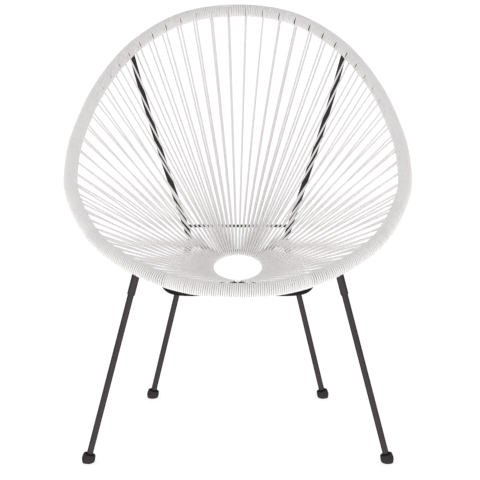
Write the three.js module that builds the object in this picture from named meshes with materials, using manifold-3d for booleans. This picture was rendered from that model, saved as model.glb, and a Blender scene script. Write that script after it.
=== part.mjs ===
// Round strung garden chair: a closed steel rim and a small seat ring are joined by a fan of
// straight cords. Two bent back struts and a front bow carry the ring and the rim, and four
// tubular legs screw into sockets under them.
// Millimetres, +Z up, +Y to the back, +X to the right as seen from the front. The origin is on
// the floor under the middle of the chair. Left and right are as seen from the front.
import * as THREE from 'three';
import { mergeVertices } from 'three/addons/utils/BufferGeometryUtils.js';
import Module from 'manifold-3d';

// Fits
const clearance = 0.3;
const overrun = 30;

// Rim: a closed tube. Its outline is egg-shaped, and its middle dips below the straight line
// from the front to the top.
const rimHalfWidth = 341;
const rimHalfDepth = 371.5;
const rimFrontHeight = 357;
const rimTopHeight = 845;
const rimDip = 20;
const rimTubeDiameter = 20.5;
const rimSteps = 60;
// Each pair: how far from the front to the top, then how far from the middle to the full width
const rimOutlineShares = [
  [0, 0], [0.012, 0.254], [0.059, 0.514], [0.159, 0.793], [0.323, 0.976], [0.422, 1],
  [0.522, 0.985], [0.709, 0.873], [0.867, 0.663], [0.97, 0.36], [1, 0],
];

// Cord: one size for the winding and for the strands
const cordDiameter = 4;
const cordSides = 5;
const strandCount = 73;
const frontBayStrands = 7;
const bayStrands = 6;
// How much closer the strands stand on the rim at the front than at the back
const rootCrowdingShare = 0.27;

// Winding on the rim: shown as a rib and a shallow groove for each strand
const grooveDepth = 1.2;
const windingSides = 8;
const strandEndShare = 0.42;

// Seat ring: just large enough for the strands to lie side by side on its inner side
const seatRingRod = 10;
const seatRingBack = -20;
const seatRingBelowRimFront = 31.5;
const seatRingTilt = THREE.MathUtils.degToRad(23.2);
const seatRingSteps = 40;
const strandGap = 0.3;
// The strands open out at the front of the ring. Under the ring they also part on both sides of
// each back strut, which leaves the ring just before the strand of this index.
const frontSpread = THREE.MathUtils.degToRad(7);
const strutStrandIndex = 28;
const partingBeforeStrut = THREE.MathUtils.degToRad(7.4);
const partingBeforeStrutCount = 24;
const partingBehindStrut = THREE.MathUtils.degToRad(3.4);
const partingBehindStrutCount = 8;

// Back struts: from the ring out to a knee over the rear leg, then up behind the strands. The
// knee's place is measured from the ring's centre.
const strutDiameter = 12;
const strutRimIndex = 29.5;
const strutMouth = 3;
// Where the strut leaves the ring, from the strand before it to the strand behind it
const strutPartingShare = 0.56;
const kneeOut = 103;
const kneeBehindRing = 105;
const kneeAboveRing = 40.5;
const kneeRadius = 45;
const strutBow = 44;
const strutBowShare = 0.72;
const strutSteps = 24;

// Crossbar between the struts
const crossbarDiameter = 6;
const crossbarAboveKnee = 26;

// Front bow: from the rim, under the strands and the ring, and back up to the rim. Its
// shoulders are measured from the rim's front.
const bowDiameter = 12;
const bowRimIndex = 5.5;
const bowShoulderOut = 127;
const bowShoulderBehindRimFront = 99.5;
const bowShoulderBelowRimFront = 24;
const bowSteps = 28;

// Legs and their sockets. A foot's place is measured from the top end of its leg's axis, and so is
// how far its socket reaches down.
const legDiameter = 12;
const legBore = 9;
const frontSocketLength = 52.4;
const rearSocketLength = 29.7;
const socketDiameter = 15;
const socketDepth = 16;
const socketRimIndex = 7.5;
const studDiameter = 8.4;
const studInLeg = 18;
const studInSocket = 8;
const frontFootSplay = 103;
const frontFootRake = 6.6;
const rearFootSplay = 88.4;
const rearFootRake = 30;

// Foot caps: rubber barrels cut flat on the floor
const capDiameter = 26;
const capHeight = 23;
const capSole = 5;
const capRounding = 2.5;
// How the cap rounds up from its sole: each pair is a share of its radius, then of its height
const capToeShares = [[0.5, 0], [0.72, 0.18], [0.9, 0.35], [1, 0.57]];

// Facets
const rodSides = 10;
const turnedSides = 12;

const steel = { color: 0x1c1a1b, roughness: 0.42, metalness: 0.55 };
const zinc = { color: 0xa9abad, roughness: 0.35, metalness: 1 };
const rubber = { color: 0x161415, roughness: 0.8, metalness: 0 };
const polymer = { color: 0xf2f0ef, roughness: 0.5, metalness: 0 };

const wasm = await Module();
wasm.setup();

const vector = (x, y, z) => new THREE.Vector3(x, y, z);
const towards = (from, to) => to.clone().sub(from).normalize();

function solidOf(geometry) {
  const bare = geometry.clone();
  bare.deleteAttribute('normal');
  bare.deleteAttribute('uv');
  const merged = mergeVertices(bare);
  const triangles = [];
  for (let i = 0; i < merged.index.count; i += 3) {
    const [a, b, c] = [0, 1, 2].map((corner) => merged.index.getX(i + corner));
    if (a !== b && b !== c && c !== a) triangles.push(a, b, c);
  }
  return new wasm.Manifold(new wasm.Mesh({
    numProp: 3,
    vertProperties: merged.attributes.position.array,
    triVerts: new Uint32Array(triangles),
  }));
}

function geometryOf(solid) {
  const mesh = solid.getMesh();
  const geometry = new THREE.BufferGeometry();
  geometry.setAttribute('position', new THREE.BufferAttribute(mesh.vertProperties, 3));
  geometry.setIndex(new THREE.BufferAttribute(mesh.triVerts, 1));
  geometry.computeVertexNormals();
  return geometry;
}

function pieceOf(name, solid, look) {
  const piece = new THREE.Mesh(geometryOf(solid), new THREE.MeshStandardMaterial(look));
  piece.name = name;
  return piece;
}

function without(solid, ...cutters) {
  return cutters.reduce((rest, cutter) => rest.subtract(cutter), solid);
}

function discShape(radius, sides) {
  const corners = Array.from({ length: sides }, (_, k) => {
    const angle = (2 * Math.PI * k) / sides;
    return new THREE.Vector2(radius * Math.cos(angle), radius * Math.sin(angle));
  });
  return new THREE.Shape(corners);
}

function rodAlong(path, radius, steps) {
  const shape = discShape(radius, rodSides);
  return solidOf(new THREE.ExtrudeGeometry(shape, { steps, bevelEnabled: false, extrudePath: path }));
}

// A solid lofted through sections with the same number of points, closed at both ends
function loftedSolid(sections) {
  const sides = sections[0].length;
  const indices = [];
  for (let ring = 0; ring < sections.length - 1; ring += 1) {
    for (let k = 0; k < sides; k += 1) {
      const a = ring * sides + k;
      const b = ring * sides + ((k + 1) % sides);
      indices.push(a, b, b + sides, a, b + sides, a + sides);
    }
  }
  const last = (sections.length - 1) * sides;
  for (let k = 1; k < sides - 1; k += 1) {
    indices.push(0, k + 1, k, last, last + k, last + k + 1);
  }
  const geometry = new THREE.BufferGeometry();
  geometry.setFromPoints(sections.flat());
  geometry.setIndex(indices);
  return solidOf(geometry);
}

// The rim's centre line
const rimRun = new THREE.Vector2(2 * rimHalfDepth, rimTopHeight - rimFrontHeight);
const rimNormal = vector(0, -rimRun.y, rimRun.x).normalize();

function rimPoint(alongShare, outShare) {
  const back = -rimHalfDepth + rimRun.x * alongShare;
  const height = rimFrontHeight + rimRun.y * alongShare;
  const dip = rimDip * 4 * alongShare * (1 - alongShare);
  return vector(rimHalfWidth * outShare, back, height).addScaledVector(rimNormal, -dip);
}

const rightOutline = rimOutlineShares.map(([along, out]) => rimPoint(along, out));
const leftOutline = rimOutlineShares.slice(1, -1).reverse().map(([along, out]) => rimPoint(along, -out));
const rimCurve = new THREE.CatmullRomCurve3([...rightOutline, ...leftOutline], true, 'centripetal');
rimCurve.arcLengthDivisions = 2000;
const rimLength = rimCurve.getLength();

// Where the strand of a given index stands, as a share of the rim's length from the front
function rimShareAt(index) {
  const turn = (2 * Math.PI * index) / strandCount;
  const crowding = Math.sin(turn) - Math.sin(3 * turn) / 9;
  return index / strandCount - (rootCrowdingShare / (2 * Math.PI)) * crowding;
}

function rimFrame(share) {
  const place = THREE.MathUtils.euclideanModulo(share, 1);
  const centre = rimCurve.getPointAt(place);
  const along = rimCurve.getTangentAt(place);
  const outward = vector(0, 0, 0).crossVectors(along, rimNormal).normalize();
  const up = vector(0, 0, 0).crossVectors(outward, along).normalize();
  return { centre, along, outward, up };
}

const rimRadius = rimTubeDiameter / 2;
const windingRadius = rimRadius + clearance + cordDiameter;

function rimTubeSolid(gap) {
  const radius = rimRadius + gap / Math.cos(Math.PI / windingSides);
  return solidOf(new THREE.TubeGeometry(rimCurve, rimSteps, radius, windingSides, true));
}

const rimSolid = rimTubeSolid(0);
const rimCutter = rimTubeSolid(clearance);

// The seat ring: places on it are angles from the front, towards +X
const wrapRadius = seatRingRod / 2 + clearance + cordDiameter / 2;
const strandAngle = (2 * Math.PI - 2 * frontSpread) / strandCount;
const seatRingRadius = (cordDiameter + strandGap) / strandAngle + wrapRadius;
const seatRingCentre = vector(0, seatRingBack, rimFrontHeight - seatRingBelowRimFront);
const ringBackward = vector(0, Math.cos(seatRingTilt), Math.sin(seatRingTilt));
const ringNormal = vector(0, -Math.sin(seatRingTilt), Math.cos(seatRingTilt));

function ringFrame(angle) {
  const outward = vector(Math.sin(angle), 0, 0).addScaledVector(ringBackward, -Math.cos(angle));
  const along = vector(0, 0, 0).crossVectors(ringNormal, outward);
  const centre = seatRingCentre.clone().addScaledVector(outward, seatRingRadius);
  return { centre, along, outward };
}

function ringSolid(gap) {
  const radius = seatRingRod / 2 + gap / Math.cos(Math.PI / windingSides);
  const torus = new THREE.TorusGeometry(seatRingRadius, radius, windingSides, seatRingSteps);
  torus.rotateX(seatRingTilt);
  torus.translate(seatRingCentre.x, seatRingCentre.y, seatRingCentre.z);
  return solidOf(torus);
}

// How many strands a strand is from the front one, negative to the left
function fromFront(index) {
  return index <= strandCount / 2 ? index : index - strandCount;
}

// The angle of a strand on top of the ring, opened out at the front
function upperPlace(index) {
  const count = fromFront(index);
  return Math.sign(count) * (strandAngle * Math.abs(count) + frontSpread * (1 - 2 ** -Math.abs(count)));
}

// Under the ring the strands are pushed away from the strut, less and less from strand to strand
function lowerPlace(index) {
  const behind = Math.abs(fromFront(index)) - strutStrandIndex;
  const remaining = behind < 0
    ? 1 - (-1 - behind) / partingBeforeStrutCount : 1 - behind / partingBehindStrutCount;
  const push = behind < 0 ? -partingBeforeStrut : partingBehindStrut;
  return upperPlace(index) + Math.sign(fromFront(index)) * push * Math.max(0, remaining);
}

// A corner of the strand where it turns round the ring, by its angle from the inner side
function wrapCorner(place, root, angle) {
  const { centre, along } = ringFrame(place);
  const inward = centre.clone().sub(root);
  inward.addScaledVector(along, -inward.dot(along)).normalize();
  const upward = vector(0, 0, 0).crossVectors(inward, along);
  upward.multiplyScalar(Math.sign(upward.dot(ringNormal)));
  const reach = wrapRadius / Math.cos(Math.PI / 6);
  return centre.clone()
    .addScaledVector(inward, reach * Math.cos(angle))
    .addScaledVector(upward, reach * Math.sin(angle));
}

// Where a strand ends inside the winding on the rim, towards its upper or its lower side
function windingExit(frame, target, side) {
  const pull = target.clone().sub(frame.centre);
  pull.addScaledVector(frame.along, -pull.dot(frame.along)).normalize();
  const lift = vector(0, 0, 0).crossVectors(pull, frame.along);
  lift.multiplyScalar(side * Math.sign(lift.dot(rimNormal)));
  const reach = rimRadius + strandEndShare * (windingRadius - rimRadius);
  return frame.centre.clone()
    .addScaledVector(lift, reach * Math.SQRT1_2)
    .addScaledVector(pull, reach * Math.SQRT1_2);
}

// One strand: from the rim's upper side to the ring, round it, and back to the lower side
function strandRoute(index) {
  const root = rimFrame(rimShareAt(index));
  const [upper, lower] = [upperPlace(index), lowerPlace(index)];
  const corners = [
    wrapCorner(upper, root.centre, Math.PI / 3),
    wrapCorner((upper + lower) / 2, root.centre, 0),
    wrapCorner(lower, root.centre, -Math.PI / 3),
  ];
  return [windingExit(root, corners[0], 1), ...corners, windingExit(root, corners[2], -1)];
}

// A tube through the points of a route, with mitred corners
function strandSolid(route, outwardStart) {
  const radius = cordDiameter / 2;
  let run = towards(route[0], route[1]);
  let first = outwardStart.clone().addScaledVector(run, -outwardStart.dot(run)).normalize();
  const sections = route.map((point, i) => {
    const next = i < route.length - 1 ? towards(point, route[i + 1]) : run;
    const mitre = run.clone().add(next).normalize();
    const second = vector(0, 0, 0).crossVectors(run, first);
    const section = Array.from({ length: cordSides }, (_, k) => {
      const angle = (2 * Math.PI * k) / cordSides;
      const spoke = first.clone().multiplyScalar(radius * Math.cos(angle));
      spoke.addScaledVector(second, radius * Math.sin(angle));
      spoke.addScaledVector(run, -spoke.dot(mitre) / run.dot(mitre));
      return spoke.add(point);
    });
    first.applyQuaternion(new THREE.Quaternion().setFromUnitVectors(run, next));
    run = next;
    return section;
  });
  return loftedSolid(sections);
}

function windingSection(share, radius) {
  const frame = rimFrame(share);
  return Array.from({ length: windingSides }, (_, k) => {
    const angle = (2 * Math.PI * k) / windingSides;
    return frame.centre.clone()
      .addScaledVector(frame.outward, radius * Math.cos(angle))
      .addScaledVector(frame.up, -radius * Math.sin(angle));
  });
}

// The winding round one bay: a rib at each strand that leaves it and a groove between two
function windingSolid(firstIndex, endIndex) {
  const gapShare = clearance / 2 / rimLength;
  const groove = windingRadius - grooveDepth;
  const sections = [windingSection(rimShareAt(firstIndex - 0.5) + gapShare, groove)];
  for (let index = firstIndex; index < endIndex; index += 1) {
    const end = index === endIndex - 1 ? gapShare : 0;
    sections.push(windingSection(rimShareAt(index), windingRadius));
    sections.push(windingSection(rimShareAt(index + 0.5) - end, groove));
  }
  return loftedSolid(sections);
}

// Back struts
function mirrored(point, side) {
  return vector(side * point.x, point.y, point.z);
}

const knee = seatRingCentre.clone().add(vector(kneeOut, kneeBehindRing, kneeAboveRing));

function strutPath(side) {
  const [before, behind] = [lowerPlace(strutStrandIndex - 1), lowerPlace(strutStrandIndex)];
  const ring = ringFrame(THREE.MathUtils.lerp(before, behind, strutPartingShare)).centre;
  const start = ring.clone().addScaledVector(towards(ring, knee), strutMouth);
  const end = rimFrame(rimShareAt(strutRimIndex)).centre;
  const pull = knee.clone().lerp(end, strutBowShare).addScaledVector(rimNormal, -strutBow);
  const turn = towards(start, knee).angleTo(towards(knee, pull));
  const setback = kneeRadius * Math.tan(turn / 2);
  const bendStart = knee.clone().addScaledVector(towards(knee, start), setback);
  const bendEnd = knee.clone().addScaledVector(towards(knee, pull), setback);
  const [a, b, c, d, e, f] = [start, bendStart, knee, bendEnd, pull, end].map((p) => mirrored(p, side));
  const path = new THREE.CurvePath();
  path.add(new THREE.LineCurve3(a, b));
  path.add(new THREE.QuadraticBezierCurve3(b, c, d));
  path.add(new THREE.QuadraticBezierCurve3(d, e, f));
  return path;
}

function strutCutter(side) {
  return rodAlong(strutPath(side), strutDiameter / 2 + clearance, strutSteps);
}

// The crossbar ends where the upper run of each strut, a quadratic curve, passes its height
function crossbarPath() {
  const upperRun = strutPath(1).curves[2];
  const rise = knee.z + crossbarAboveKnee - upperRun.v0.z;
  const slope = 2 * (upperRun.v1.z - upperRun.v0.z);
  const bend = upperRun.v0.z - 2 * upperRun.v1.z + upperRun.v2.z;
  const end = upperRun.getPoint((2 * rise) / (slope + Math.sqrt(slope ** 2 + 4 * bend * rise)));
  return new THREE.LineCurve3(mirrored(end, -1), mirrored(end, 1));
}

// The bow's middle lies just under the winding on the ring
function bowPath() {
  const end = rimFrame(rimShareAt(bowRimIndex)).centre;
  const rimFront = rimFrame(0).centre;
  const shoulder = rimFront.clone();
  shoulder.add(vector(bowShoulderOut, bowShoulderBehindRimFront, -bowShoulderBelowRimFront));
  const front = ringFrame(0).centre;
  const rise = towards(front, rimFront);
  const down = vector(0, -rise.z, rise.y);
  const middle = front.clone().addScaledVector(down, wrapRadius + cordDiameter / 2 + clearance + bowDiameter / 2);
  const points = [mirrored(end, -1), mirrored(shoulder, -1), middle, shoulder, end];
  return new THREE.CatmullRomCurve3(points, false, 'centripetal');
}

const socketTop = rimFrame(rimShareAt(socketRimIndex)).centre;
const frontFoot = vector(socketTop.x + frontFootSplay, socketTop.y + frontFootRake, 0);
const rearFoot = vector(knee.x + rearFootSplay, knee.y + rearFootRake, 0);

// One leg set stands in a group whose origin is the foot and whose Z axis is the leg's
function legPlacement(foot, top) {
  const group = new THREE.Group();
  group.position.copy(foot);
  group.quaternion.setFromUnitVectors(vector(0, 0, 1), towards(foot, top));
  group.updateMatrixWorld(true);
  return group;
}

function turned(profile) {
  const points = profile.map(([radius, height]) => new THREE.Vector2(radius, height));
  const geometry = new THREE.LatheGeometry(points, turnedSides);
  geometry.rotateX(Math.PI / 2);
  return solidOf(geometry);
}

function legSolid(legEnd) {
  const [outer, bore] = [legDiameter / 2, legBore / 2];
  const low = capSole + clearance;
  return turned([[bore, low], [outer, low], [outer, legEnd], [bore, legEnd], [bore, low]]);
}

function studSolid(legEnd) {
  const radius = studDiameter / 2;
  const [low, high] = [legEnd - studInLeg, legEnd + studInSocket];
  return turned([[0, low], [radius, low], [radius, high], [0, high]]);
}

function socketSolid(legEnd, top) {
  const [outer, bore, studBore] = [socketDiameter / 2, legDiameter / 2 + clearance, studDiameter / 2 + clearance];
  const [mouth, shoulder] = [legEnd - socketDepth, legEnd + clearance];
  const studEnd = shoulder + studInSocket;
  return turned([
    [bore, mouth], [outer, mouth], [outer, top], [0, top], [0, studEnd],
    [studBore, studEnd], [studBore, shoulder], [bore, shoulder], [bore, mouth],
  ]);
}

function capSolid(placement) {
  const [radius, bore] = [capDiameter / 2, legDiameter / 2 + clearance];
  const top = capHeight - capSole;
  const toe = capToeShares.map(([out, up]) => [radius * out, capHeight * up - capSole]);
  const blank = turned([
    [0, -capSole], ...toe, [radius, top - capRounding], [radius - capRounding, top],
    [bore, top], [bore, capSole], [0, capSole],
  ]);
  const floor = new THREE.BoxGeometry(overrun * 2, overrun * 2, overrun);
  floor.translate(placement.position.x, placement.position.y, -overrun / 2);
  floor.applyMatrix4(placement.matrixWorld.clone().invert());
  return blank.subtract(solidOf(floor));
}

function legSet(name, foot, top, socketLength, socketCutter) {
  const group = legPlacement(foot, top);
  const cutter = solidOf(geometryOf(socketCutter).applyMatrix4(group.matrixWorld.clone().invert()));
  const length = foot.distanceTo(top);
  const legEnd = length - socketLength + socketDepth;
  group.add(pieceOf(`socket_${name}`, without(socketSolid(legEnd, length), cutter), steel));
  group.add(pieceOf(`leg_${name}`, legSolid(legEnd), steel));
  group.add(pieceOf(`leg_stud_${name}`, studSolid(legEnd), zinc));
  group.add(pieceOf(`foot_cap_${name}`, capSolid(group), rubber));
  return group;
}

// What the winding leaves room for round a turned piece that reaches the rim through it
function rodBetween(from, to, diameter) {
  const radius = (diameter / 2 + clearance) / Math.cos(Math.PI / rodSides);
  return rodAlong(new THREE.LineCurve3(from, to), radius, 1);
}

const sides = [['left', -1], ['right', 1]];
const strutCutters = sides.map(([, side]) => strutCutter(side));
const bowCutter = rodAlong(bowPath(), bowDiameter / 2 + clearance, bowSteps);
const socketCutters = sides.map(([, side]) => (
  rodBetween(mirrored(socketTop, side), mirrored(frontFoot, side), socketDiameter)
));

function cordBay(bay, firstIndex, endIndex) {
  let solid = windingSolid(firstIndex, endIndex);
  for (let index = firstIndex; index < endIndex; index += 1) {
    const around = THREE.MathUtils.euclideanModulo(index, strandCount);
    const route = strandRoute(around);
    solid = solid.add(strandSolid(route, rimFrame(rimShareAt(around)).up));
  }
  const open = without(solid, rimCutter, bowCutter, ...strutCutters, ...socketCutters);
  return pieceOf(`cord_bay_${String(bay).padStart(2, '0')}`, open, polymer);
}

function frameGroup() {
  const group = new THREE.Group();
  group.add(pieceOf('rim_tube', rimSolid, steel));
  group.add(pieceOf('seat_ring', ringSolid(0), steel));
  const ringCutter = ringSolid(clearance);
  sides.forEach(([name, side]) => {
    const strut = rodAlong(strutPath(side), strutDiameter / 2, strutSteps);
    group.add(pieceOf(`back_strut_${name}`, without(strut, rimCutter, ringCutter), steel));
  });
  const crossbar = rodAlong(crossbarPath(), crossbarDiameter / 2, 1);
  group.add(pieceOf('rear_crossbar', without(crossbar, ...strutCutters), steel));
  const bow = rodAlong(bowPath(), bowDiameter / 2, bowSteps);
  group.add(pieceOf('front_bow', without(bow, rimCutter), steel));
  return group;
}

function legsGroup() {
  const group = new THREE.Group();
  sides.forEach(([name, side], i) => {
    const [frontEnds, rearEnds] = [[frontFoot, socketTop], [rearFoot, knee]].map((ends) => (
      ends.map((end) => mirrored(end, side))
    ));
    group.add(legSet(`front_${name}`, ...frontEnds, frontSocketLength, rimCutter));
    group.add(legSet(`rear_${name}`, ...rearEnds, rearSocketLength, strutCutters[i]));
  });
  return group;
}

function stringGroup() {
  const group = new THREE.Group();
  const firstIndex = -(frontBayStrands - 1) / 2;
  group.add(cordBay(1, firstIndex, firstIndex + frontBayStrands));
  const sideBays = Math.round((strandCount - frontBayStrands) / bayStrands);
  for (let bay = 0; bay < sideBays; bay += 1) {
    const start = firstIndex + frontBayStrands + bay * bayStrands;
    const end = Math.min(start + bayStrands, strandCount + firstIndex);
    group.add(cordBay(bay + 2, start, end));
  }
  return group;
}

const chair = new THREE.Group();
chair.add(frameGroup(), legsGroup(), stringGroup());

export default chair;
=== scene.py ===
import math

import bmesh
import bpy
import numpy as np
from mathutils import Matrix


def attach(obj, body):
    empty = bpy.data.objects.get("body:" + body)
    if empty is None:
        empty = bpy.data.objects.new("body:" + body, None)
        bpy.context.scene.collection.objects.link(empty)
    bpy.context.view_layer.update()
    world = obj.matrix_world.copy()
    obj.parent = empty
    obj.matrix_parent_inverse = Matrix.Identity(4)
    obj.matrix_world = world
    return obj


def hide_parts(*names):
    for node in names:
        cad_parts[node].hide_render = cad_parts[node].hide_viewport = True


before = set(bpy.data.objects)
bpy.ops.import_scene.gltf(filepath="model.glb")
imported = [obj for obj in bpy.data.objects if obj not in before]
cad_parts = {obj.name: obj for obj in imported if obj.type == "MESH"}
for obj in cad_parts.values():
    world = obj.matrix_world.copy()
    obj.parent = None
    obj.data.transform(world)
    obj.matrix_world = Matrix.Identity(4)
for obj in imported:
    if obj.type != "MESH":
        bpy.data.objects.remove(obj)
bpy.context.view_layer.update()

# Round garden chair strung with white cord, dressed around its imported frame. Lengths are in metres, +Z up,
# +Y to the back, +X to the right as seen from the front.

bl_info = {
    "name": "Strung garden chair",
    "version": (1, 0, 0),
    "blender": (4, 5, 0),
    "location": "View3D > Sidebar > Chair",
    "description": "Strings, frame, feet and studio of a round garden chair",
    "category": "Object",
}

mm = 0.001

# Rim
RIM_HALF_WIDTH = 341 * mm
RIM_HALF_DEPTH = 371.5 * mm
RIM_FRONT_HEIGHT = 357 * mm
RIM_TOP_HEIGHT = 845 * mm
RIM_DIP = 20 * mm
RIM_RADIUS = 10.25 * mm
RIM_OUTLINE_SHARES = [
    (0, 0), (0.012, 0.254), (0.059, 0.514), (0.159, 0.793), (0.323, 0.976), (0.422, 1),
    (0.522, 0.985), (0.709, 0.873), (0.867, 0.663), (0.97, 0.36), (1, 0),
]
CLEARANCE = 0.3 * mm

# Strands
STRAND_COUNT = 73
FRONT_BAY_STRANDS = 7
BAY_STRANDS = 6
ROOT_CROWDING_SHARE = 0.27

# Seat ring
RING_ROD_RADIUS = 5 * mm
RING_BACK = -20 * mm
RING_BELOW_RIM_FRONT = 31.5 * mm
RING_TILT = math.radians(23.2)
STRAND_GAP = 0.3 * mm
FRONT_SPREAD = math.radians(7)
STRUT_STRAND_INDEX = 28
PARTING_BEFORE_STRUT = math.radians(7.4)
PARTING_BEFORE_COUNT = 24
PARTING_BEHIND_STRUT = math.radians(3.4)
PARTING_BEHIND_COUNT = 8

# Struts, crossbar and bow
STRUT_RADIUS = 6 * mm
STRUT_RIM_INDEX = 29.5
STRUT_MOUTH = 3 * mm
STRUT_PARTING_SHARE = 0.56
KNEE_FROM_RING = np.array([103, 105, 40.5]) * mm
KNEE_RADIUS = 45 * mm
STRUT_BOW = 44 * mm
STRUT_BOW_SHARE = 0.72
CROSSBAR_RADIUS = 3 * mm
CROSSBAR_ABOVE_KNEE = 26 * mm
BOW_RADIUS = 6 * mm
BOW_RIM_INDEX = 5.5
BOW_SHOULDER_FROM_RIM = np.array([127, 99.5, -24]) * mm

# Legs
LEG_RADIUS = 6 * mm
LEG_BORE_RADIUS = 4.5 * mm
FRONT_SOCKET_LENGTH = 52.4 * mm
REAR_SOCKET_LENGTH = 29.7 * mm
SOCKET_RADIUS = 7.5 * mm
SOCKET_DEPTH = 16 * mm
SOCKET_EDGE = 0.8 * mm
# The middle of a rounded edge stands in from the sharp corner by this share of the edge's width
SOCKET_EDGE_SHARE = 0.3
REAR_SOCKET_BELOW_KNEE = 2 * mm
SOCKET_RIM_INDEX = 7.5
FRONT_FOOT_FROM_TOP = np.array([103, 6.6, 0]) * mm
REAR_FOOT_FROM_KNEE = np.array([88.4, 30, 0]) * mm
CAP_RADIUS = 13 * mm
CAP_HEIGHT = 23 * mm
CAP_SOLE = 5 * mm
CAP_LIP_SHARE = 0.93
CAP_TOP_ROUNDING = 1.6 * mm
CAP_TOP_STEPS = 7
CAP_MOUTH_CHAMFER = 0.6 * mm
# How the cap rounds up from its sole: each pair is a share of its radius, then of its height
CAP_TOE_SHARES = [
    (0.42, 0.0), (0.6, 0.045), (0.74, 0.135), (0.86, 0.26), (0.95, 0.4), (0.99, 0.52), (1.0, 0.62),
]
DUST_HEIGHT = 9 * mm

SIDES = (("left", -1), ("right", 1))


def unit(vectors):
    return vectors / np.linalg.norm(vectors, axis=-1, keepdims=True)


# Curves

def spline_points(points, closed, count):
    """A centripetal spline through the points, at count even steps of its parameter."""
    points = np.array(points, float)
    total = len(points)
    if not closed:
        before = 2 * points[0] - points[1]
        after = 2 * points[-1] - points[-2]
        points = np.vstack([before, points, after])
    spans = total if closed else total - 1
    place = np.linspace(0, spans, count, endpoint=not closed)
    span = np.minimum(place.astype(int), spans - 1)
    share = (place - span)[:, None]
    if closed:
        p0, p1, p2, p3 = (points[(span + shift) % total] for shift in (-1, 0, 1, 2))
    else:
        p0, p1, p2, p3 = (points[span + shift] for shift in (0, 1, 2, 3))
    d0, d1, d2 = (np.sqrt(np.linalg.norm(b - a, axis=1))[:, None] for a, b in ((p0, p1), (p1, p2), (p2, p3)))
    pull1 = ((p1 - p0) / d0 - (p2 - p0) / (d0 + d1) + (p2 - p1) / d1) * d1
    pull2 = ((p2 - p1) / d1 - (p3 - p1) / (d1 + d2) + (p3 - p2) / d2) * d1
    square, cube = share**2, share**3
    return (p1 + pull1 * share + (3 * p2 - 3 * p1 - 2 * pull1 - pull2) * square
            + (2 * p1 - 2 * p2 + pull1 + pull2) * cube)


RIM_RUN = np.array([2 * RIM_HALF_DEPTH, RIM_TOP_HEIGHT - RIM_FRONT_HEIGHT])
RIM_NORMAL = unit(np.array([0, -RIM_RUN[1], RIM_RUN[0]]))


def rim_outline():
    """Points on the rim's centre line, up the right side and down the left."""
    def place(along, out):
        dip = RIM_DIP * 4 * along * (1 - along)
        flat = np.array([RIM_HALF_WIDTH * out, -RIM_HALF_DEPTH + RIM_RUN[0] * along,
                         RIM_FRONT_HEIGHT + RIM_RUN[1] * along])
        return flat - RIM_NORMAL * dip
    right = [place(along, out) for along, out in RIM_OUTLINE_SHARES]
    left = [place(along, -out) for along, out in RIM_OUTLINE_SHARES[1:-1][::-1]]
    return right + left


RIM_SAMPLES = 8000
RIM_LINE = spline_points(rim_outline(), True, RIM_SAMPLES)
RIM_LINE = np.vstack([RIM_LINE, RIM_LINE[:1]])
RIM_STEPS = np.linalg.norm(np.diff(RIM_LINE, axis=0), axis=1)
RIM_TRAVEL = np.concatenate([[0], np.cumsum(RIM_STEPS)])
RIM_LENGTH = RIM_TRAVEL[-1]
RIM_TANGENTS = unit(np.roll(RIM_LINE[:-1], -1, axis=0) - np.roll(RIM_LINE[:-1], 1, axis=0))
RIM_TANGENTS = np.vstack([RIM_TANGENTS, RIM_TANGENTS[:1]])


def rim_frames(travel):
    """Centre, tangent, outward and up directions of the rim at distances along it."""
    travel = np.atleast_1d(travel) % RIM_LENGTH
    centre = np.stack([np.interp(travel, RIM_TRAVEL, RIM_LINE[:, k]) for k in range(3)], axis=1)
    along = unit(np.stack([np.interp(travel, RIM_TRAVEL, RIM_TANGENTS[:, k]) for k in range(3)], axis=1))
    outward = unit(np.cross(along, RIM_NORMAL))
    return centre, along, outward, np.cross(outward, along)


def rim_travel(index):
    """How far along the rim the strand of a given index stands, counted on past a full turn."""
    turn = 2 * math.pi * index / STRAND_COUNT
    crowding = math.sin(turn) - math.sin(3 * turn) / 9
    return RIM_LENGTH * (index / STRAND_COUNT - ROOT_CROWDING_SHARE / (2 * math.pi) * crowding)


# Seat ring

CORD_RADIUS_CAD = 2 * mm
WRAP_RADIUS = RING_ROD_RADIUS + CLEARANCE + CORD_RADIUS_CAD
STRAND_ANGLE = (2 * math.pi - 2 * FRONT_SPREAD) / STRAND_COUNT
RING_RADIUS = (2 * CORD_RADIUS_CAD + STRAND_GAP) / STRAND_ANGLE + WRAP_RADIUS
RING_CENTRE = np.array([0, RING_BACK, RIM_FRONT_HEIGHT - RING_BELOW_RIM_FRONT])
KNEE = RING_CENTRE + KNEE_FROM_RING
RING_BACKWARD = np.array([0, math.cos(RING_TILT), math.sin(RING_TILT)])
RING_NORMAL = np.array([0, -math.sin(RING_TILT), math.cos(RING_TILT)])


def ring_place(angle):
    """Centre and tangent of the ring's rod at an angle from the front towards +X."""
    outward = np.array([math.sin(angle), 0, 0]) - math.cos(angle) * RING_BACKWARD
    return RING_CENTRE + RING_RADIUS * outward, np.cross(RING_NORMAL, outward)


def from_front(index):
    """How many strands a strand is from the front one, negative to the left."""
    return index if index <= STRAND_COUNT / 2 else index - STRAND_COUNT


def upper_angle(index):
    """Where a strand lies on top of the ring."""
    count = abs(from_front(index))
    return math.copysign(STRAND_ANGLE * count + FRONT_SPREAD * (1 - 2.0**-count), from_front(index))


def lower_angle(index):
    """Where a strand lies under the ring, pushed away from the strut."""
    behind = abs(from_front(index)) - STRUT_STRAND_INDEX
    if behind < 0:
        push, remaining = -PARTING_BEFORE_STRUT, 1 - (-1 - behind) / PARTING_BEFORE_COUNT
    else:
        push, remaining = PARTING_BEHIND_STRUT, 1 - behind / PARTING_BEHIND_COUNT
    return upper_angle(index) + math.copysign(push * max(0, remaining), push * from_front(index))


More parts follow.
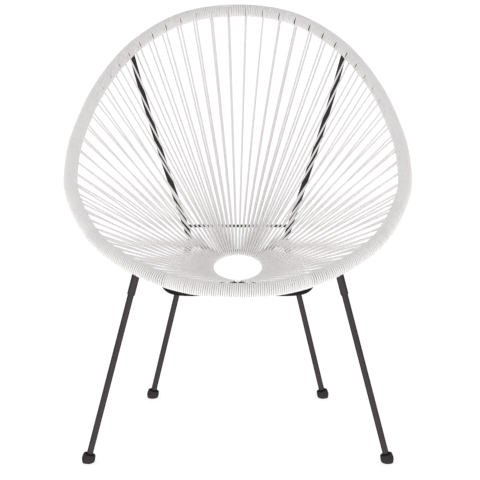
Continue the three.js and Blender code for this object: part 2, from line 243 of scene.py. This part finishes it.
def ring_wrap(index, root, steps=10):
    """The strand's half turn round the ring's inner side, from above to below."""
    points = []
    for share in np.linspace(0, 1, steps):
        shift = max(0, 2 * share - 1)
        angle = (1 - shift) * upper_angle(index) + shift * lower_angle(index)
        centre, along = ring_place(angle)
        inward = centre - root
        inward = unit(inward - along * np.dot(inward, along))
        upward = np.cross(inward, along)
        upward *= np.sign(np.dot(upward, RING_NORMAL))
        turn = math.pi * (0.5 - share)
        points.append(centre + WRAP_RADIUS * (math.cos(turn) * inward + math.sin(turn) * upward))
    return np.array(points)


# Meshes

# The first spoke of a tube's first section lies as near this direction as it can
FIRST_SPOKE = np.array([0.3, 0.5, 0.8])
MERGE_DISTANCE = 0.001 * mm
SHARP_ANGLE = math.radians(50)


def swept_mesh(name, route, radius, sides):
    """A tube mesh through the points of a route, with sections square to it and flat ends."""
    route = np.array(route, float)
    run = unit(np.diff(route, axis=0))
    bisector = unit(np.vstack([run[:1], run[:-1] + run[1:], run[-1:]]))
    first = np.zeros_like(route)
    spoke = FIRST_SPOKE
    for i, direction in enumerate(bisector):
        spoke = unit(spoke - direction * np.dot(spoke, direction))
        first[i] = spoke
    second = np.cross(bisector, first)
    radii = np.broadcast_to(radius, len(route))
    angle = np.linspace(0, 2 * math.pi, sides, endpoint=False)
    spokes = (first[:, None] * np.cos(angle)[None, :, None] + second[:, None] * np.sin(angle)[None, :, None])
    verts = (route[:, None] + radii[:, None, None] * spokes).reshape(-1, 3)
    ring = np.arange(len(route) - 1)[:, None] * sides
    k = np.arange(sides)[None, :]
    nxt = (k + 1) % sides
    quads = np.stack([ring + k, ring + nxt, ring + nxt + sides, ring + k + sides], axis=-1).reshape(-1, 4)
    last = (len(route) - 1) * sides
    faces = quads.tolist() + [list(range(sides))[::-1], list(range(last, last + sides))]
    return shaded_object(name, verts, faces)


def turned_mesh(name, profile, foot, axis, sides=48):
    """A turned piece from (radius, height) pairs, stood at foot along axis. It starts and ends on the axis
    or closes on itself."""
    profile = np.array(profile, float)
    axis = unit(np.array(axis, float))
    across = unit(np.cross(axis, [0, 1, 0]))
    other = np.cross(axis, across)
    angle = np.linspace(0, 2 * math.pi, sides, endpoint=False)
    spokes = across[None] * np.cos(angle)[:, None] + other[None] * np.sin(angle)[:, None]
    verts = (np.array(foot)[None, None] + profile[:, 0][:, None, None] * spokes[None]
             + profile[:, 1][:, None, None] * axis[None, None]).reshape(-1, 3)
    faces = []
    closed = np.allclose(profile[0], profile[-1])
    rows = len(profile) - 1 if closed else len(profile)
    for i in range(len(profile) - 1):
        below, above = i * sides, ((i + 1) % rows) * sides
        for k in range(sides):
            n = (k + 1) % sides
            faces.append([below + k, below + n, above + n, above + k])
    obj = shaded_object(name, verts[:rows * sides], faces)
    work = bmesh.new()
    work.from_mesh(obj.data)
    bmesh.ops.remove_doubles(work, verts=work.verts, dist=MERGE_DISTANCE)
    bmesh.ops.recalc_face_normals(work, faces=work.faces)
    work.to_mesh(obj.data)
    work.free()
    smooth(obj)
    return obj


def shaded_object(name, verts, faces):
    mesh = bpy.data.meshes.new(name)
    mesh.from_pydata([tuple(v) for v in verts], [], [tuple(f) for f in faces])
    mesh.update()
    obj = bpy.data.objects.new(name, mesh)
    bpy.context.scene.collection.objects.link(obj)
    smooth(obj)
    return obj


def smooth(obj):
    obj.data.polygons.foreach_set("use_smooth", [True] * len(obj.data.polygons))
    obj.data.set_sharp_from_angle(angle=SHARP_ANGLE)


def paint(obj, material):
    obj.data.materials.clear()
    obj.data.materials.append(material)


def dress(obj, material, slot, *nodes):
    """Give a piece its material, set it on the chair, and hide the solids that it replaces."""
    paint(obj, material)
    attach(obj, "root")
    if nodes:
        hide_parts(*nodes)


# Shader maths

# Places of a Mix node's colour sockets, whose names repeat for its other types
MIX_FACTOR, MIX_A, MIX_B, MIX_RESULT = 0, 6, 7, 2


class Socket:
    """A node's output with arithmetic: each operator adds a Math node."""

    def __init__(self, shader, output):
        self.shader = shader
        self.output = output

    def _math(self, operation, a, b):
        return self.shader.node("ShaderNodeMath", {"operation": operation}, {0: a, 1: b})

    def __add__(self, other):
        return self._math("ADD", self, other)

    def __radd__(self, other):
        return self._math("ADD", other, self)

    def __sub__(self, other):
        return self._math("SUBTRACT", self, other)

    def __rsub__(self, other):
        return self._math("SUBTRACT", other, self)

    def __mul__(self, other):
        return self._math("MULTIPLY", self, other)

    def __rmul__(self, other):
        return self._math("MULTIPLY", other, self)

    def __truediv__(self, other):
        return self._math("DIVIDE", self, other)

    def __rtruediv__(self, other):
        return self._math("DIVIDE", other, self)

    def clamped(self, low=0.0, high=1.0):
        top = self._math("MINIMUM", self, high)
        return self._math("MAXIMUM", top, low)


class Shader:
    """A node tree under construction, with one surface node on its output."""

    def __init__(self, owner, surface, output):
        owner.use_nodes = True
        self.tree = owner.node_tree
        self.tree.nodes.clear()
        self.surface = self.tree.nodes.new(surface)
        self.tree.links.new(self.surface.outputs[0], self.tree.nodes.new(output).inputs["Surface"])

    def node(self, kind, settings=None, values=None, output=0):
        made = self.tree.nodes.new(kind)
        for key, value in (settings or {}).items():
            setattr(made, key, value)
        for key, value in (values or {}).items():
            self._feed(made.inputs[key], value)
        return Socket(self, made.outputs[output])

    def _feed(self, socket, value):
        if isinstance(value, Socket):
            self.tree.links.new(value.output, socket)
        else:
            socket.default_value = value

    def set(self, **values):
        for key, value in values.items():
            self._feed(self.surface.inputs[key.replace("_", " ")], value)

    def mix(self, share, a, b):
        return self.node("ShaderNodeMix", {"data_type": "RGBA"}, {MIX_FACTOR: share, MIX_A: a, MIX_B: b},
                         MIX_RESULT)

    def place(self, output="Object"):
        return self.node("ShaderNodeTexCoord", output=output)

    def axis(self, where, index):
        return self.node("ShaderNodeSeparateXYZ", None, {0: where}, index)

    def noise(self, where, scale, detail=3.0, roughness=0.5):
        values = {"Vector": where, "Scale": scale, "Detail": detail, "Roughness": roughness}
        return self.node("ShaderNodeTexNoise", None, values)

    def bump(self, height, strength, distance):
        values = {"Height": height, "Strength": strength, "Distance": distance}
        return self.node("ShaderNodeBump", None, values)


def colour(values, shade=1.0):
    return tuple(v * shade for v in values[:3]) + (1.0,)


def finish(name, build, settings):
    """The material of this name, built by a function when it is first asked for."""
    if name not in bpy.data.materials:
        material = bpy.data.materials.new(name)
        build(Shader(material, "ShaderNodeBsdfPrincipled", "ShaderNodeOutputMaterial"), settings)
    return bpy.data.materials[name]


# The tints keep the dark finishes from turning pale at a glancing angle
DARK_EDGE = colour((0.03, 0.03, 0.03))
DULL_EDGE = colour((0.05, 0.05, 0.05))
DUST_COLOUR = colour((0.09, 0.085, 0.08))
WHITE = colour((1.0, 1.0, 1.0))


def white_cord(shader, settings):
    where = shader.place()
    broad = shader.noise(where, 14.0, 2.0)
    patch = shader.noise(where, 90.0, 3.0)
    fine = shader.noise(where, 420.0, 3.0)
    tone = shader.mix((broad * 0.5 + patch * 0.5).clamped(), colour(settings.cord_colour, 0.95),
                      colour(settings.cord_colour, 1.03))
    shader.set(Base_Color=tone, Roughness=0.36 + 0.12 * fine, Normal=shader.bump(fine, 0.08, 0.15 * mm),
               Specular_IOR_Level=0.4)


def black_powder_coat(shader, settings):
    where = shader.place()
    broad = shader.noise(where, 26.0, 3.0)
    peel = shader.noise(where, 900.0, 2.0)
    tone = shader.mix(broad, colour(settings.paint_colour, 0.8), colour(settings.paint_colour, 1.2))
    shader.set(Base_Color=tone, Roughness=0.30 + 0.14 * broad, Normal=shader.bump(peel, 0.25, 0.12 * mm),
               Metallic=settings.paint_sheen, Specular_Tint=DARK_EDGE, Specular_IOR_Level=0.3)


def foot_rubber(shader, settings):
    where = shader.place()
    grain = shader.noise(where, 700.0, 4.0)
    broad = shader.noise(where, 60.0, 3.0)
    dust = (1.0 - shader.axis(where, 2) / DUST_HEIGHT).clamped() * broad * 0.35
    tone = shader.mix(dust, colour(settings.rubber_colour), DUST_COLOUR)
    shader.set(Base_Color=tone, Roughness=0.42 + 0.14 * grain, Normal=shader.bump(grain, 0.25, 0.2 * mm),
               Metallic=settings.rubber_sheen, Specular_Tint=DULL_EDGE, Specular_IOR_Level=0.4)


def zinc_plate(shader, settings):
    grain = shader.noise(shader.place(), 500.0, 3.0)
    tone = shader.mix(grain, colour(settings.zinc_colour, 0.85), colour(settings.zinc_colour, 1.05))
    shader.set(Base_Color=tone, Roughness=0.25 + 0.2 * grain, Metallic=1.0)


def pale_floor(shader, settings):
    broad = shader.noise(shader.place(), 3.0, 2.0)
    tone = shader.mix(broad, colour(settings.floor_colour, 0.995), colour(settings.floor_colour))
    shader.set(Base_Color=tone, Roughness=0.9, Specular_IOR_Level=0.1, Emission_Color=WHITE,
               Emission_Strength=settings.floor_glow)


# Settings

class ChairCordSettings(bpy.types.PropertyGroup):
    cord_diameter: bpy.props.FloatProperty(
        name="Cord diameter", description="Thickness of the cord", default=4.0 * mm, unit="LENGTH")
    winding_pitch: bpy.props.FloatProperty(
        name="Winding pitch", description="Distance from turn to turn on the rim", default=4.12 * mm,
        unit="LENGTH")
    turn_steps: bpy.props.IntProperty(
        name="Steps per turn", description="Sections of the cord in one turn on the rim", default=20)
    cord_sides: bpy.props.IntProperty(
        name="Cord sides", description="Sides of the cord's section", default=8)
    winding_tightness: bpy.props.FloatProperty(
        name="Winding tightness", description="Share of its thickness that the wound cord keeps",
        default=0.95)
    unevenness: bpy.props.FloatProperty(
        name="Unevenness", description="How far a turn lies off its place", default=0.17 * mm, unit="LENGTH")
    cord_colour: bpy.props.FloatVectorProperty(
        name="Cord colour", description="Colour of the cord", default=(0.855, 0.831, 0.834), subtype="COLOR")


class ChairFrameSettings(bpy.types.PropertyGroup):
    rod_sides: bpy.props.IntProperty(
        name="Rod sides", description="Sides of the frame's round rods", default=32)
    paint_colour: bpy.props.FloatVectorProperty(
        name="Paint colour", description="Colour of the powder coat", default=(0.058, 0.050, 0.052),
        subtype="COLOR")
    paint_sheen: bpy.props.FloatProperty(
        name="Paint sheen", description="How much the powder coat shines like metal", default=0.95)
    rubber_colour: bpy.props.FloatVectorProperty(
        name="Rubber colour", description="Colour of the foot caps", default=(0.044, 0.039, 0.040),
        subtype="COLOR")
    rubber_sheen: bpy.props.FloatProperty(
        name="Rubber sheen", description="How much the caps shine like metal", default=0.7)
    zinc_colour: bpy.props.FloatVectorProperty(
        name="Zinc colour", description="Colour of the plated studs", default=(0.64, 0.65, 0.66),
        subtype="COLOR")


class ChairStageSettings(bpy.types.PropertyGroup):
    camera_distance: bpy.props.FloatProperty(
        name="Camera distance", description="From the middle of the chair, along the floor", default=3.0,
        unit="LENGTH")
    camera_height: bpy.props.FloatProperty(
        name="Camera height", description="Above the floor", default=0.9636, unit="LENGTH")
    camera_pitch: bpy.props.FloatProperty(
        name="Camera pitch", description="Downward tilt", default=math.radians(11), unit="ROTATION")
    lens: bpy.props.FloatProperty(name="Lens", description="Focal length in millimetres", default=108.86)
    floor_colour: bpy.props.FloatVectorProperty(
        name="Floor colour", description="Colour of the floor", default=(0.45, 0.45, 0.45), subtype="COLOR")
    floor_glow: bpy.props.FloatProperty(
        name="Floor glow", description="Light from the floor, as from a lit table", default=0.70)
    sky_strength: bpy.props.FloatProperty(
        name="Sky", description="Strength of the light from overhead", default=1.08)
    backdrop_strength: bpy.props.FloatProperty(
        name="Backdrop", description="Strength of the pale backdrop at the floor's edge", default=1.0)
    backdrop_rise: bpy.props.FloatProperty(
        name="Backdrop rise", description="Share of the way up the sky where the backdrop ends", default=0.4)
    box_strength: bpy.props.FloatProperty(
        name="Softbox", description="Power of the softbox by the camera", default=11.0, unit="POWER")
    box_place: bpy.props.FloatVectorProperty(
        name="Softbox place", description="Middle of the softbox", default=(-0.35, -3.2, 1.25),
        unit="LENGTH", subtype="TRANSLATION")
    box_size: bpy.props.FloatVectorProperty(
        name="Softbox size", description="Width and height of the softbox", default=(1.0, 1.0), size=2,
        unit="LENGTH")
    table_strength: bpy.props.FloatProperty(
        name="Light table", description="Power of the panel under the chair", default=28.0, unit="POWER")
    table_size: bpy.props.FloatVectorProperty(
        name="Light table size", description="Width and depth of the panel", default=(6.0, 6.0), size=2,
        unit="LENGTH")


# Cord

SEED = 7
# The unevenness of the turns fades in and out over this share of a run
FADE_SHARE = 0.25


def winding_angles(index, settings):
    """At one strand: the turn angles where it leaves the winding and comes back to it."""
    centre, along, outward, up = (v[0] for v in rim_frames(rim_travel(index)))
    wrap = ring_wrap(index % STRAND_COUNT, centre)
    reach = RIM_RADIUS + CLEARANCE + settings.cord_diameter / 2
    angles = []
    for target, side in ((wrap[0], -1), (wrap[-1], 1)):
        pull = target - centre
        pull = pull - along * np.dot(pull, along)
        heading = math.atan2(np.dot(pull, up), np.dot(pull, outward)) % (2 * math.pi)
        lean = math.asin(reach / np.linalg.norm(pull))
        angles.append(heading + side * (math.pi / 2 - lean))
    return angles[0], angles[1], wrap


def winding_run(index, settings, random):
    """The turns on the rim from one strand to the next, as points round the rim's tube."""
    _, back_angle, _ = winding_angles(index, settings)
    exit_angle, _, _ = winding_angles(index + 1, settings)
    pitch = settings.winding_pitch
    start = rim_travel(index) + pitch / 2
    end = rim_travel(index + 1)
    part_turn = ((exit_angle - back_angle) / (2 * math.pi)) % 1
    turns = round((end - start) / pitch - part_turn) + part_turn
    steps = max(3, round(turns * settings.turn_steps))
    share = np.linspace(0, 1, steps + 1)
    knots = np.arange(math.ceil(turns) + 2)
    ease = np.minimum(1, np.minimum(share, 1 - share) / FADE_SHARE)
    lift = np.interp(share * turns, knots, random.uniform(-1, 1, len(knots))) * settings.unevenness
    shift = np.interp(share * turns, knots, random.uniform(-1, 1, len(knots))) * settings.unevenness
    travel = start + share * (end - start) + shift * ease
    centre, _, outward, up = rim_frames(travel)
    angle = (back_angle + 2 * math.pi * turns * share)[:, None]
    reach = (RIM_RADIUS + CLEARANCE + settings.cord_diameter / 2 + np.abs(lift) * ease)[:, None]
    return centre + reach * (np.cos(angle) * outward + np.sin(angle) * up)


def bay_ranges():
    """The first and the end index of each bay of strands."""
    first = -(FRONT_BAY_STRANDS - 1) // 2
    starts = [first] + list(range(first + FRONT_BAY_STRANDS, STRAND_COUNT + first, BAY_STRANDS))
    return list(zip(starts, starts[1:] + [STRAND_COUNT + first]))


class CHAIR_OT_cords(bpy.types.Operator):
    """Wind the cord round the rim and string it to the seat ring"""

    bl_idname = "chair.cords"
    bl_label = "Cords"

    def execute(self, context):
        settings = context.scene.chair_cord
        random = np.random.default_rng(SEED)
        material = finish("white_cord", white_cord, settings)
        runs = {i: winding_run(i, settings, random) for i in range(STRAND_COUNT)}
        for bay, (first, end) in enumerate(bay_ranges(), start=1):
            before = runs[(first - 1) % STRAND_COUNT]
            route = [before[len(before) // 2:]]
            tightness = [settings.winding_tightness]
            for index in range(first, end):
                run = runs[index % STRAND_COUNT]
                last = index == end - 1
                route += [winding_angles(index, settings)[2], run[:len(run) // 2 + 1] if last else run]
                tightness += [1, settings.winding_tightness]
            radius = np.repeat(tightness, [len(part) for part in route]) * settings.cord_diameter / 2
            cord = swept_mesh(f"strung_cord_{bay:02d}", np.vstack(route), radius, settings.cord_sides)
            dress(cord, material, "cord", f"cord_bay_{bay:02d}")
        return {"FINISHED"}


# Frame

STRUT_BEND_STEPS = 16
STRUT_STEPS = 40
BOW_STEPS = 90
RING_STEPS = 128
WELD_THICKNESS = 1 * mm
WELD_STEPS = 96
WELD_SIDES = 8
WELD_RIPPLES = 22
WELD_RIPPLE_SHARE = 0.125
# The bead's ripples are counted from the direction square to this one and to the rod
WELD_START = np.array([0.2, 1, 0.1])


def bezier(a, b, c, count):
    share = np.linspace(0, 1, count)[:, None]
    return (1 - share)**2 * np.array(a) + 2 * share * (1 - share) * np.array(b) + share**2 * np.array(c)


def strut_route(side):
    """From the seat ring round the knee and up behind the strands to the rim."""
    before, behind = lower_angle(STRUT_STRAND_INDEX - 1), lower_angle(STRUT_STRAND_INDEX)
    ring = ring_place(before + (behind - before) * STRUT_PARTING_SHARE)[0]
    start = ring + unit(KNEE - ring) * STRUT_MOUTH
    end = rim_frames(rim_travel(STRUT_RIM_INDEX))[0][0]
    pull = KNEE + (end - KNEE) * STRUT_BOW_SHARE - RIM_NORMAL * STRUT_BOW
    arriving, leaving = unit(KNEE - start), unit(pull - KNEE)
    setback = KNEE_RADIUS * math.tan(math.acos(np.dot(arriving, leaving)) / 2)
    bend_start, bend_end = KNEE - arriving * setback, KNEE + leaving * setback
    route = np.vstack([[ring], [start], bezier(bend_start, KNEE, bend_end, STRUT_BEND_STEPS),
                       bezier(bend_end, pull, end, STRUT_STEPS)[1:]])
    return route * np.array([side, 1, 1])


def bow_route():
    """From the rim under the strands and the ring and back to the rim."""
    end = rim_frames(rim_travel(BOW_RIM_INDEX))[0][0]
    front = ring_place(0)[0]
    rim_front = rim_frames(0)[0][0]
    rise = unit(rim_front - front)
    down = np.array([0, -rise[2], rise[1]])
    middle = front + down * (WRAP_RADIUS + CORD_RADIUS_CAD + CLEARANCE + BOW_RADIUS)
    flip = np.array([-1, 1, 1])
    shoulder = rim_front + BOW_SHOULDER_FROM_RIM
    return spline_points([end * flip, shoulder * flip, middle, shoulder, end], False, BOW_STEPS)


def weld_bead(name, centre, axis, radius):
    """A rippled ring of weld round a rod, whose ends overlap by one step."""
    across = unit(np.cross(axis, WELD_START))
    other = np.cross(axis, across)
    angle = 2 * math.pi * np.arange(WELD_STEPS + 2) / WELD_STEPS
    swell = 1 + WELD_RIPPLE_SHARE * np.sin(angle * WELD_RIPPLES)
    route = centre + radius * (np.cos(angle)[:, None] * across + np.sin(angle)[:, None] * other)
    return swept_mesh(name, route, WELD_THICKNESS * swell, WELD_SIDES)


class CHAIR_OT_frame(bpy.types.Operator):
    """Bend the struts, the crossbar, the bow and the seat ring"""

    bl_idname = "chair.frame"
    bl_label = "Frame"

    def execute(self, context):
        settings = context.scene.chair_frame
        steel = finish("black_powder_coat", black_powder_coat, settings)
        sides = settings.rod_sides
        turn = np.linspace(0, 2 * math.pi, RING_STEPS + 1)
        ring = swept_mesh("seat_ring_rod", [ring_place(a)[0] for a in turn], RING_ROD_RADIUS, sides)
        dress(ring, steel, "frame", "seat_ring")
        for name, side in SIDES:
            strut = swept_mesh(f"strut_{name}", strut_route(side), STRUT_RADIUS, sides)
            dress(strut, steel, "frame", f"back_strut_{name}")
        upper_run = strut_route(1)[-STRUT_STEPS:]
        height = KNEE[2] + CROSSBAR_ABOVE_KNEE
        end = np.array([np.interp(height, upper_run[:, 2], upper_run[:, k]) for k in range(3)])
        crossbar = swept_mesh("crossbar", [end * np.array([-1, 1, 1]), end], CROSSBAR_RADIUS, sides)
        dress(crossbar, steel, "frame", "rear_crossbar")
        for name, side in SIDES:
            foot = end * np.array([side, 1, 1]) - np.array([side, 0, 0]) * STRUT_RADIUS
            bead = weld_bead(f"crossbar_weld_{name}", foot, np.array([1, 0, 0]), CROSSBAR_RADIUS)
            dress(bead, steel, "frame")
        bow = swept_mesh("bow", bow_route(), BOW_RADIUS, sides)
        dress(bow, steel, "frame", "front_bow")
        paint(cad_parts["rim_tube"], steel)
        return {"FINISHED"}


# Legs

def leg_sets():
    """Name, foot, top and socket length of each leg."""
    top = rim_frames(rim_travel(SOCKET_RIM_INDEX))[0][0]
    flat = np.array([1, 1, 0])
    for name, side in SIDES:
        flip = np.array([side, 1, 1])
        yield f"front_{name}", (top * flat + FRONT_FOOT_FROM_TOP) * flip, top * flip, FRONT_SOCKET_LENGTH
        yield f"rear_{name}", (KNEE * flat + REAR_FOOT_FROM_KNEE) * flip, KNEE * flip, REAR_SOCKET_LENGTH


class CHAIR_OT_legs(bpy.types.Operator):
    """Set the legs in their sockets"""

    bl_idname = "chair.legs"
    bl_label = "Legs"

    def execute(self, context):
        settings = context.scene.chair_frame
        steel = finish("black_powder_coat", black_powder_coat, settings)
        zinc = finish("zinc_plate", zinc_plate, settings)
        for name, foot, top, socket_length in leg_sets():
            axis = unit(top - foot)
            reach = np.linalg.norm(top - foot)
            mouth = reach - socket_length
            edge, bevel = SOCKET_EDGE, SOCKET_EDGE * SOCKET_EDGE_SHARE
            low, high = CAP_SOLE, mouth + SOCKET_DEPTH
            tube = turned_mesh(f"leg_tube_{name}", [
                (LEG_BORE_RADIUS, low), (LEG_RADIUS, low), (LEG_RADIUS, high), (LEG_BORE_RADIUS, high),
                (LEG_BORE_RADIUS, low)], foot, axis)
            dress(tube, steel, "frame", f"leg_{name}")
            bore = LEG_RADIUS + CLEARANCE
            end = reach if name.startswith("front") else reach - REAR_SOCKET_BELOW_KNEE
            socket = turned_mesh(f"leg_socket_{name}", [
                (bore, high), (bore, mouth + edge), (bore + bevel, mouth),
                (SOCKET_RADIUS - edge, mouth), (SOCKET_RADIUS - bevel, mouth + bevel),
                (SOCKET_RADIUS, mouth + edge), (SOCKET_RADIUS, end - edge),
                (SOCKET_RADIUS - bevel, end - bevel), (SOCKET_RADIUS - edge, end), (0, end),
                (0, high), (bore, high)], foot, axis)
            dress(socket, steel, "frame", f"socket_{name}")
            paint(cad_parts[f"leg_stud_{name}"], zinc)
        return {"FINISHED"}


class CHAIR_OT_feet(bpy.types.Operator):
    """Put the rubber caps on the feet"""

    bl_idname = "chair.feet"
    bl_label = "Feet"

    def execute(self, context):
        rubber = finish("foot_rubber", foot_rubber, context.scene.chair_frame)
        for name, foot, top, _ in leg_sets():
            axis = unit(top - foot)
            high = CAP_HEIGHT - CAP_SOLE
            bore, lip = LEG_RADIUS + CLEARANCE, CAP_RADIUS * CAP_LIP_SHARE
            profile = [(0, -CAP_SOLE)]
            profile += [(CAP_RADIUS * out, CAP_HEIGHT * up - CAP_SOLE) for out, up in CAP_TOE_SHARES]
            for turn in np.linspace(0, math.pi / 2, CAP_TOP_STEPS):
                profile.append((lip - CAP_TOP_ROUNDING * (1 - math.cos(turn)),
                                high - CAP_TOP_ROUNDING * (1 - math.sin(turn))))
            profile += [(bore + CAP_MOUTH_CHAMFER, high), (bore, high - CAP_MOUTH_CHAMFER),
                        (bore, CAP_SOLE), (0, CAP_SOLE)]
            cap = turned_mesh(f"cap_{name}", profile, foot, axis)
            co = np.array([v.co for v in cap.data.vertices])
            co[:, 2] = np.maximum(co[:, 2], 0)
            cap.data.vertices.foreach_set("co", co.ravel())
            cap.data.update()
            dress(cap, rubber, "foot", f"foot_cap_{name}")
        return {"FINISHED"}


# Stage

FLOOR_REACH = 60.0
# Where the softbox points
MIDDLE = np.array([0, 0, 0.45])
UP = np.array([0, 0, 1])
TABLE_HEIGHT = 2 * mm
SENSOR_WIDTH = 36
# In pixels: the picture's width, and how far left of its middle the chair stands
PICTURE_WIDTH = 480
CHAIR_LEFT_OF_MIDDLE = 2.2


class CHAIR_OT_stage(bpy.types.Operator):
    """Lay the floor, hang the lights and set the camera"""

    bl_idname = "chair.stage"
    bl_label = "Stage"

    def execute(self, context):
        settings = context.scene.chair_stage
        self.floor(settings)
        self.lights(context.scene, settings)
        self.camera(context.scene, settings)
        return {"FINISHED"}

    def floor(self, settings):
        turns = ((-1, -1), (1, -1), (1, 1), (-1, 1))
        corners = [(x * FLOOR_REACH, y * FLOOR_REACH, 0) for x, y in turns]
        floor = shaded_object("floor", corners, [(0, 1, 2, 3)])
        floor.data.materials.append(finish("pale_floor", pale_floor, settings))

    def lights(self, scene, settings):
        world = bpy.data.worlds.new("studio")
        shader = Shader(world, "ShaderNodeBackground", "ShaderNodeOutputWorld")
        rise = shader.axis(shader.place("Generated"), 2).clamped()
        backdrop = (1.0 - rise / settings.backdrop_rise).clamped()
        levels = (0.0, settings.sky_strength, settings.backdrop_strength)
        dark, sky, glow = (colour((level,) * 3) for level in levels)
        shader.set(Color=shader.mix(backdrop, shader.mix(rise, dark, sky), glow))
        scene.world = world
        place = np.array(settings.box_place)
        self.panel_light(scene, "softbox", settings.box_strength, settings.box_size, place, MIDDLE - place)
        table = self.panel_light(scene, "light_table", settings.table_strength, settings.table_size,
                                 UP * TABLE_HEIGHT, UP)
        table.visible_camera = False
        scene.view_settings.view_transform = "Standard"

    def panel_light(self, scene, name, power, size, place, direction):
        data = bpy.data.lights.new(name, "AREA")
        data.energy = power
        data.shape = "RECTANGLE"
        data.size, data.size_y = size
        lamp = bpy.data.objects.new(name, data)
        lamp.location = place
        aim = unit(direction)
        lamp.rotation_euler = (math.acos(-aim[2]), 0, -math.atan2(aim[0], aim[1]))
        scene.collection.objects.link(lamp)
        return lamp

    def camera(self, scene, settings):
        data = bpy.data.cameras.new("camera")
        data.sensor_width = SENSOR_WIDTH
        data.lens = settings.lens
        data.shift_x = CHAIR_LEFT_OF_MIDDLE / PICTURE_WIDTH
        camera = bpy.data.objects.new("camera", data)
        camera.location = (0, -settings.camera_distance, settings.camera_height)
        camera.rotation_euler = (math.pi / 2 - settings.camera_pitch, 0, 0)
        scene.collection.objects.link(camera)
        scene.camera = camera


class CHAIR_PT_panel(bpy.types.Panel):
    """Pieces of the chair in the order in which they are made"""

    bl_idname = "CHAIR_PT_panel"
    bl_label = "Strung chair"
    bl_space_type = "VIEW_3D"
    bl_region_type = "UI"
    bl_category = "Chair"

    def draw(self, context):
        for operator in OPERATORS:
            self.layout.operator(operator.bl_idname)


OPERATORS = (CHAIR_OT_stage, CHAIR_OT_cords, CHAIR_OT_frame, CHAIR_OT_legs, CHAIR_OT_feet)
GROUPS = {
    "chair_cord": ChairCordSettings,
    "chair_frame": ChairFrameSettings,
    "chair_stage": ChairStageSettings,
}


def register():
    for group in GROUPS.values():
        bpy.utils.register_class(group)
    for operator in OPERATORS:
        bpy.utils.register_class(operator)
    bpy.utils.register_class(CHAIR_PT_panel)
    for name, group in GROUPS.items():
        setattr(bpy.types.Scene, name, bpy.props.PointerProperty(type=group))


def unregister():
    for name in GROUPS:
        delattr(bpy.types.Scene, name)
    bpy.utils.unregister_class(CHAIR_PT_panel)
    for operator in reversed(OPERATORS):
        bpy.utils.unregister_class(operator)
    for group in reversed(GROUPS.values()):
        bpy.utils.unregister_class(group)


def main():
    register()
    for operator in OPERATORS:
        group, name = operator.bl_idname.split(".")
        getattr(getattr(bpy.ops, group), name)()


if __name__ == "__main__":
    main()
